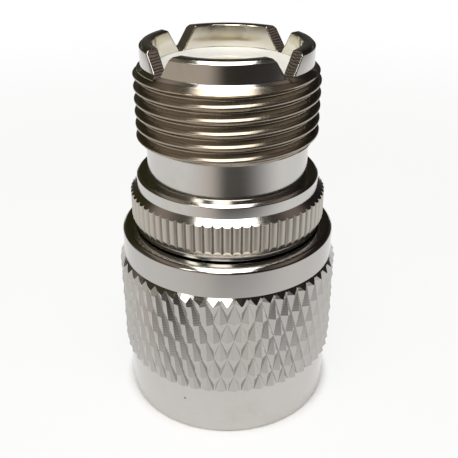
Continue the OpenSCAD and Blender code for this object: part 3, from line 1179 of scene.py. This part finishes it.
@dataclass
class CouplingNut:
    """The coupling nut: diamond knurl between two plain bands, and a thread in its bore."""

    nickel: bpy.types.Material
    band_r: float = 9.58
    length: float = 17.25
    knurl_r: float = 10.03
    knurl_depth: float = 0.36
    knurl_z: float = 4.75
    knurl_top_z: float = 14.6
    bevel_upper: float = 0.66
    bevel_lower: float = 0.3
    diamonds: int = 52
    diamond_h: float = 3.73
    cross_depth: float = 0.55
    ridge_lean: float = 0.22
    step_lean: float = 0.4
    lean_drop: float = 0.25
    lean_from: float = 0.5
    lean_rise: float = 0.1
    lean_fall: float = 0.07
    apex_z: float = 14.04
    apex_turn: float = -90.0
    tip_wear: float = 0.04
    tuck: float = 0.3
    rim_ease: float = 0.3
    rear_bevel: float = 0.32
    lead_r: float = 8.1
    lead_z: float = 1.35
    thread_r: float = 7.4
    thread_depth: float = 0.55
    crest_z: float = 4.0
    crest_bevel: float = 0.06
    crest_w: float = 0.13
    thread_top_z: float = 7.35
    pitch: float = 1.0583
    relief_r: float = 8.05
    step_z: float = 11.03
    bore_r: float = 7.18
    groove_r: float = 7.7
    groove_z: float = 13.16
    groove_top_z: float = 14.26

    def lean(self, column: float) -> float:
        """How much the points lean at a column: fully on the left of the photo's side, not on the right.

        Args:
            column: place round the nut, two columns to a point.

        Returns:
            0 for upright points to 1 for leaning ones.
        """
        turn = column % (2 * self.diamonds) / (2 * self.diamonds)
        part = min((turn - self.lean_from) / self.lean_rise, (1.0 - turn) / self.lean_fall)
        part = min(max(part, 0.0), 1.0)
        return part * part * (3.0 - 2.0 * part)

    def spot(self, column: float, row: float, drop: float) -> Point:
        """A point of the knurl by column, row and drop below the tips, as column, level and radius."""
        level = self.apex_z + row * self.diamond_h / 2 - self.lean_drop * self.lean(column)
        return column, level, self.knurl_r - drop

    def groove(self, column: float, row: float) -> list[Point]:
        """One edge in a groove that rises to the right, from its middle: upper end, two bends, lower end.

        Args:
            column: place of its middle round the nut.
            row: place of its middle along the nut.

        Returns:
            The four points.
        """
        lean = self.lean(column)
        cross, ridge = 1.0 - (1.0 - self.cross_depth) * lean, self.ridge_lean * lean
        bends = (ridge + cross * (1.0 - ridge), cross), (ridge - cross * (1.0 + ridge), cross)
        marks = ((1.0, 1.0), *bends, (-1.0, 1.0))
        return [self.spot(column + s / 2, row + s / 2, drop * self.knurl_depth) for s, drop in marks]

    def facets(self) -> Iterator[list[Point]]:
        """Yields the four faces of each point of the knurl, as column, level and radius of their corners.

        Returns:
            The faces, one after the other.
        """
        half = self.diamond_h / 2
        low = math.floor((self.knurl_z - self.apex_z) / half) - 1
        high = math.ceil((self.knurl_top_z - self.apex_z) / half) + 2
        for row in range(low, high + 1):
            for column in range(row % 2, 2 * self.diamonds, 2):
                aside = (self.ridge_lean + self.step_lean) / 2 * self.lean(column)
                up = (self.ridge_lean - self.step_lean) / 2 * self.lean(column)
                peak = self.spot(column + aside, row + up, self.tip_wear * uneven(column, row))
                right = self.groove(column + 0.5, row - 0.5)
                left = self.groove(column - 0.5, row + 0.5)
                yield [peak, right[1], right[0], left[0], left[1]]
                yield [peak, left[2], left[3], right[3], right[2]]
                yield [peak, right[2], right[1]]
                yield [peak, left[1], left[2]]

    def knurl(self, skin: Skin) -> None:
        """Skins the knurl: every face is cut at the ends and split along the two bevels.

        Args:
            skin: the nut's skin.
        """
        known: dict[tuple[int, int, int], int] = {}
        swell = self.knurl_r - self.band_r

        def upper(z: float) -> float:
            """Radius of the upper bevel."""
            return self.band_r + (self.knurl_top_z - z) * swell / self.bevel_upper

        def lower(z: float) -> float:
            """Radius of the lower bevel."""
            return self.band_r + (z - self.knurl_z) * swell / self.bevel_lower

        def put(face: list[Point]) -> None:
            """Adds a face, with corners that its neighbours share.

            Args:
                face: the corners in order.
            """
            marks = []
            for column, z, r in face:
                key = (round(column * 1e4) % (20000 * self.diamonds), round(z * 1e4), round(r * 1e3))
                if key not in known:
                    angle = math.radians(self.apex_turn) + column * math.pi / self.diamonds
                    known[key] = skin.dot(r, angle, z)
                marks.append(known[key])
            marks = list(dict.fromkeys(marks))
            if len(marks) > 2:
                skin.faces.append(tuple(marks))

        for facet in self.facets():
            face = clipped(facet, lambda at: self.knurl_top_z - at[1])
            face = clipped(face, lambda at: at[1] - self.knurl_z)
            put(clipped(clipped(face, lambda at: upper(at[1]) - at[2]), lambda at: lower(at[1]) - at[2]))
            for bevel in (upper, lower):
                cut = clipped(face, lambda at: at[2] - bevel(at[1]))
                put([(column, z, bevel(z)) for column, z, _ in cut])

    def bore_blank(self, z: float) -> float:
        """Radius of the threaded bore's blank at a level.

        Args:
            z: the level.

        Returns:
            The radius.
        """
        lead = self.lead_r - (z - self.lead_z)
        relief = self.relief_r - (self.thread_top_z - z)
        return max(self.thread_r, lead, relief)

    def build(self) -> None:
        """Builds the nut and puts it in place."""
        skin = Skin()
        self.knurl(skin)
        skin.crisp = len(skin.faces)
        plain = self.diamonds * 4
        rim = skin.turn(eased([
            Corner(self.band_r - self.tuck, self.knurl_z),
            Corner(self.band_r, self.knurl_z),
            Corner(self.band_r, 0.0, self.rim_ease),
            Corner(self.lead_r, 0.0, 0.16),
            Corner(self.lead_r, self.lead_z, 0.0),
        ], 5), plain)
        tooth = vee_tooth(self.thread_r, self.thread_depth, self.crest_bevel, self.crest_w, -1.0)
        span = (self.lead_z, self.thread_top_z)
        bottom, top = skin.helix(tooth, self.pitch, self.crest_z, span, self.bore_blank, True, plain)
        skin.bridge(rim[-1], bottom)
        rear = skin.turn(eased([
            Corner(self.relief_r, self.thread_top_z + 0.1),
            Corner(self.relief_r, self.step_z, 0.08),
            Corner(self.bore_r, self.step_z, 0.06),
            Corner(self.bore_r, self.groove_z, 0.04),
            Corner(self.groove_r, self.groove_z, 0.04),
            Corner(self.groove_r, self.groove_top_z, 0.04),
            Corner(self.bore_r, self.groove_top_z, 0.04),
            Corner(self.bore_r, self.length, 0.12),
            Corner(self.band_r - self.rear_bevel, self.length, 0.16),
            Corner(self.band_r, self.length - self.rear_bevel, 0.12),
            Corner(self.band_r, self.knurl_top_z),
            Corner(self.band_r - self.tuck, self.knurl_top_z),
        ], 6), plain)
        skin.bridge(top, rear[0])
        settle(skin.to_object("coupling_nut_knurled", self.nickel), "coupling_nut", Body.NUT)


@dataclass(frozen=True)
class SoftBox:
    """A soft box: its place, width and height, brightness where 1 is white, and tint."""

    name: str
    at: Point
    size: Flat
    level: float
    colour: Colour

    def hang(self, aim_z: float) -> None:
        """Hangs the lamp so that it faces a level on the axis.

        Args:
            aim_z: the level that it faces.
        """
        wide, high = self.size[0] * MM, self.size[1] * MM
        light = bpy.data.lights.new(self.name, "AREA")
        light.shape = "RECTANGLE"
        light.size, light.size_y = wide, high
        light.energy = self.level * math.pi * wide * high
        light.color = self.colour
        lamp = bpy.data.objects.new(self.name, light)
        bpy.context.scene.collection.objects.link(lamp)
        x, y, z = self.at
        lamp.location = [value * MM for value in self.at]
        lamp.rotation_euler = (math.atan2(math.hypot(x, y), z - aim_z), 0.0, math.atan2(x, -y))
        lamp.visible_camera = False


@dataclass
class Studio:
    """Pale floor, pale horizon under a dark ceiling, three soft boxes and a dark card before the object,
    which only the metal sees as a painted reflection of shadow and dark surroundings.

    Spans are the ends of smooth steps: directions in the world, degrees or millimetres on the card.
    """

    floor_size: float = 600.0
    floor_colour: Colour = (0.92, 0.92, 0.92)
    floor_grain: Colour = (0.88, 0.88, 0.88)
    floor_veil: float = 0.86
    veil_span: Flat = (45.0, 170.0)
    veil_edge: Flat = (9.2, 10.5)
    pale: Colour = (0.84, 0.84, 0.83)
    left_dark: Colour = (0.040, 0.036, 0.014)
    right_dark: Colour = (0.016, 0.014, 0.013)
    left_wall: Colour = (0.36, 0.30, 0.26)
    right_wall: Colour = (0.25, 0.20, 0.17)
    horizon: Flat = (0.10, 0.22)
    ceiling: Flat = (0.72, 0.9)
    wall_back: Flat = (0.2, 0.6)
    wall_side: Flat = (0.35, 0.75)
    wall_lift: Flat = (0.52, 0.66)
    card_left: Colour = (0.040, 0.036, 0.020)
    card_right: Colour = (0.024, 0.019, 0.016)
    card_warm: Colour = (0.57, 0.49, 0.41)
    card_cover: float = 0.985
    lobe_drift: Flat = (0.31, 12.0)
    lobe_left: Flat = (-75.0, -6.0)
    lobe_right: Flat = (6.0, 72.0)
    near_span: Flat = (8.0, 64.0)
    near_cover: Flat = (0.83, 0.15)
    near_end: Flat = (54.0, 70.0)
    patch_reach: Flat = (70.0, 75.0)
    patch_right: Flat = (50.0, 95.0)
    patch_left: Flat = (104.0, 124.0)
    patch_slope: Flat = (0.0, 52.0)
    warm_right: Flat = (-28.0, 0.0)
    warm_left: Flat = (-122.0, -92.0)
    warm_height: Flat = (10.0, 70.0)
    aim_z: float = 18.0
    boxes: tuple[SoftBox, ...] = (
        SoftBox("top_box", (-4.0, -75.0, 215.0), (165.0, 150.0), 5.0, (1.0, 0.98, 0.94)),
        SoftBox("front_box", (-28.0, -190.0, 165.0), (88.0, 90.0), 4.0, (1.0, 0.97, 0.90)),
        SoftBox("side_box", (-135.0, -140.0, 150.0), (46.0, 90.0), 4.0, (1.0, 0.97, 0.90)),
    )

    def floor(self) -> None:
        """Builds the floor, which shows white to the eye and in the metal and keeps the shadow."""
        skin = Skin()
        rings = skin.turn([(2.0, 0.0), (40.0, 0.0), (160.0, 0.0), (self.floor_size, 0.0)], 64)
        skin.cap(rings[0], 0.0)
        material, bench = fresh_bench("pale_floor")
        at = bench.place()
        grain = bench.noise(at, 0.05, 3.0)
        colour = bench.mix(grain * 0.12, self.floor_colour, self.floor_grain)
        plain = bench.node("ShaderNodeBsdfDiffuse", None, {"Color": colour})
        white = bench.node("ShaderNodeEmission", None, {"Color": (1.0, 1.0, 1.0), "Strength": 1.0})
        x, y, _ = bench.split(at)
        away = bench.reach(x, y)
        veil = self.floor_veil + (1.0 - self.floor_veil) * bench.rise(away, *self.veil_span)
        veil = veil * bench.rise(away, *self.veil_edge)
        path = bench.node("ShaderNodeLightPath").plug.node.outputs
        seen = Sock(bench, path["Is Camera Ray"])
        for ray in ("Is Glossy Ray", "Is Transmission Ray"):
            seen = seen.high(Sock(bench, path[ray]))
        both = bench.node("ShaderNodeMixShader", None, {0: seen * veil, 1: plain, 2: white})
        bench.node_out("ShaderNodeOutputMaterial", both)
        skin.to_object("floor", material)

    def world(self) -> None:
        """Sets the world: pale to a little above the horizon, dark and warm overhead."""
        world = bpy.data.worlds.new("studio_room")
        world.use_nodes = True
        bench = Bench(world.node_tree)
        look = bench.node("ShaderNodeTexCoord", None, None, "Generated")
        x, y, z = bench.split(look)
        dark = bench.mix(bench.rise(x, -0.6, 0.6), self.left_dark, self.right_dark)
        wall = (1.0 - bench.rise(y, *self.wall_back)) * (1.0 - bench.rise(z, *self.ceiling))
        lift = bench.rise(z, *self.wall_lift)
        left = bench.rise(0.0 - x, *self.wall_side) * wall * (0.1 + 0.9 * lift)
        right = bench.rise(x, *self.wall_side) * wall * (0.05 + 0.95 * lift)
        dark = bench.mix(right, bench.mix(left, dark, self.left_wall), self.right_wall)
        colour = bench.mix(bench.rise(z, *self.horizon), self.pale, dark)
        light = bench.node("ShaderNodeBackground", None, {"Color": colour, "Strength": 1.0})
        bench.node_out("ShaderNodeOutputWorld", light)
        bpy.context.scene.world = world

    def card_shade(self, bench: Bench, away: Sock, side: Sock) -> Sock:
        """How much the card covers: a lobe of painted shadow before the object, and painted dark
        surroundings beyond a pale patch round it.

        Args:
            bench: the card's tree.
            away: distance from the axis.
            side: direction from the axis in degrees, zero towards the camera and positive to the right.

        Returns:
            The cover, from 0 to 1.
        """
        slope, shift = self.lobe_drift
        # painted shadow: the lobe paints a shadow on the floor before the object, seen only in the metal's
        # reflections
        drift = side - (slope * away - shift)
        lobe = bench.rise(drift, *self.lobe_left) * (1.0 - bench.rise(drift, *self.lobe_right))
        least, more = self.near_cover
        cover = least + more * bench.rise(away, *self.near_end)
        near = lobe * bench.rise(away, *self.near_span) * cover
        reach, widen = self.patch_reach
        wide = bench.rise(side, *self.patch_right) + bench.rise(0.0 - side, *self.patch_left)
        far = bench.rise(away - (reach + widen * wide), *self.patch_slope)
        return near.high(far) * self.card_cover

    def card(self) -> None:
        """Lays a dark card that only the metal sees: a painted reflection of shadow before the object and of
        dark surroundings, which leaves a pale patch round the object.
        """
        skin = Skin()
        skin.turn([(11.0, 0.3), (60.0, 0.3), (300.0, 0.3), (304.0, 84.0)], 64)
        material, bench = fresh_bench("painted_reflection_card")
        x, y, z = bench.split(bench.place())
        side = bench.node("ShaderNodeMath", {"operation": "ARCTAN2"}, {0: x, 1: 0.0 - y})
        side = side * math.degrees(1.0)
        shade = self.card_shade(bench, bench.reach(x, y), side)
        left = (1.0 - bench.rise(side, *self.warm_right)) * bench.rise(side, *self.warm_left)
        warm = left * (1.0 - bench.rise(z, *self.warm_height) * 0.5)
        # painted reflection: the card glows dark, warmer to the left, only for the metal's rays
        dark = bench.mix(bench.rise(x, -60.0, 60.0), self.card_left, self.card_right)
        tint = bench.mix(warm, dark, self.card_warm)
        clear = bench.node("ShaderNodeBsdfTransparent")
        dull = bench.node("ShaderNodeEmission", None, {"Color": tint, "Strength": 1.0})
        both = bench.node("ShaderNodeMixShader", None, {0: shade, 1: clear, 2: dull})
        bench.node_out("ShaderNodeOutputMaterial", both)
        card = skin.to_object("painted_reflection_card", material)
        card.visible_camera = False
        card.visible_diffuse = False
        card.visible_shadow = False
        card.visible_transmission = False

    def build(self) -> None:
        """Builds floor, world, card and lamps."""
        self.floor()
        self.world()
        self.card()
        for box in self.boxes:
            box.hang(self.aim_z)
        bpy.context.scene.view_settings.view_transform = "Standard"
        LOG.info("studio is set")


@dataclass
class PhotoCamera:
    """The camera at the photograph's viewing angle."""

    back: float = 57.02
    height: float = 46.17
    aside: float = 0.14
    down: float = 27.91
    lens: float = 54.44
    sensor: float = 36.0
    near: float = 2.0
    far: float = 20000.0

    def build(self) -> None:
        """Sets up the camera."""
        data = bpy.data.cameras.new("photo_camera")
        data.sensor_fit = "HORIZONTAL"
        data.sensor_width = self.sensor
        data.lens = self.lens
        data.clip_start, data.clip_end = self.near * MM, self.far * MM
        camera = bpy.data.objects.new("photo_camera", data)
        bpy.context.scene.collection.objects.link(camera)
        camera.location = (self.aside * MM, -self.back * MM, self.height * MM)
        camera.rotation_euler = (math.radians(90.0 - self.down), 0.0, 0.0)
        bpy.context.scene.camera = camera
        LOG.info("camera is set")


def shell_nickel() -> PlatedMetal:
    """The plating of the shells: painted darker brown on the thread as painted shade, with wear there;
    painted darker on the grip's teeth as painted shade, and rougher there; painted lighter in the bore as a
    painted reflection.

    Returns:
        The finish.
    """
    # painted shade: the thread is painted darker brown and the grip's teeth darker
    thread = ShadeTone(THREAD_SPAN, (0.345, 0.30, 0.242))
    teeth = ShadeTone((17.8, 20.65), (0.465, 0.433, 0.385), 0.13)
    # painted reflection: inside radius 6.12 the plating is painted a lighter cream
    return PlatedMetal(
        "nickel_plate", NICKEL, NICKEL_TARNISH, 0.13,
        shade_tones=(thread, teeth), worn=THREAD_SPAN, milled=(31.3, 33.4), bore=6.12,
    )


def nut_nickel() -> PlatedMetal:
    """The plating of the nut: painted a little darker above the rim as painted shade, with tool marks in the
    knurl and two specks.

    Returns:
        The finish.
    """
    return PlatedMetal(
        "nut_nickel", NICKEL, NICKEL_TARNISH, 0.10,
        specks=(Speck((-3.84, -8.78, 3.31), 0.10), Speck((1.33, -9.65, 6.53), 0.08)),
        # painted shade: above the rim the nut is painted darker than at the rim
        shade_tones=(ShadeTone((4.9, 17.4), (0.478, 0.465, 0.445)),), marks=(4.8, 14.4),
    )


def main() -> None:
    """Loads the frame, builds the pieces in order and sets the studio."""
    logging.basicConfig(level=logging.INFO, format="%(name)s: %(message)s")
    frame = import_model()
    LOG.info("frame has %d nodes", len(frame["nodes"]))
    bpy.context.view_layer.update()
    nickel = shell_nickel().make()
    contact = PlatedMetal("contact_plate", (0.86, 0.74, 0.48), (0.58, 0.42, 0.22), 0.32).make()
    bronze = PlatedMetal("spring_bronze", (0.62, 0.42, 0.24), (0.36, 0.22, 0.12), 0.24).make()
    ptfe = TurnedPtfe().make()
    JackEnd(nickel, ptfe, contact).build()
    PlugEnd(nickel, ptfe, contact, bronze, SealSilicone().make()).build()
    CouplingNut(nut_nickel().make()).build()
    Studio().build()
    PhotoCamera().build()


if __name__ == "__main__":
    main()
